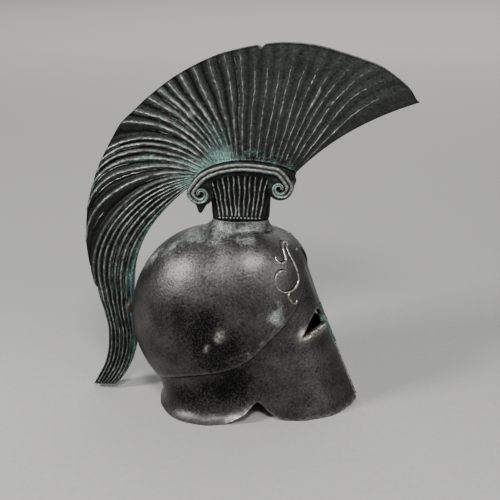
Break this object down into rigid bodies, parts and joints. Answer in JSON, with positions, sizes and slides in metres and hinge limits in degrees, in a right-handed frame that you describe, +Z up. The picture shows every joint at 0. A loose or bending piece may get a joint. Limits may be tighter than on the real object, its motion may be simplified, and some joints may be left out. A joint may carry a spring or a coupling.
{
  "type": "corinthian helmet",
  "caption": "Cast bronze desk miniature of a corinthian helmet: hollow bowl with eye holes and nasal, fluted crest stem, scroll bands and a fan plume running down into a tail.",
  "frame": {"origin": "on the floor under the middle of the bounding box", "axes": "+X is the way the face looks, +Y the helmet's left side, +Z up"},
  "size_m": [0.1366, 0.0578, 0.15],
  "materials": {
    "bowl_bronze": "dark brown-grey bronze, softly polished, granular with a little pale green verdigris",
    "nose_bronze": "dark bronze covered with teal verdigris",
    "stem_bronze": "dark bronze with bright worn flutes",
    "band_bronze": "worn bronze with mint green verdigris in the volutes",
    "plume_bronze": "dark bronze, worn bright on the raised edges of its locks"
  },
  "bodies": {
    "root": {"helmet_shell": "bowl_bronze", "nose_guard": "nose_bronze", "crest_holder": "stem_bronze", "scroll_band_left": "band_bronze", "scroll_band_right": "band_bronze", "crest_plume": "plume_bronze"}
  },
  "joints": []
}
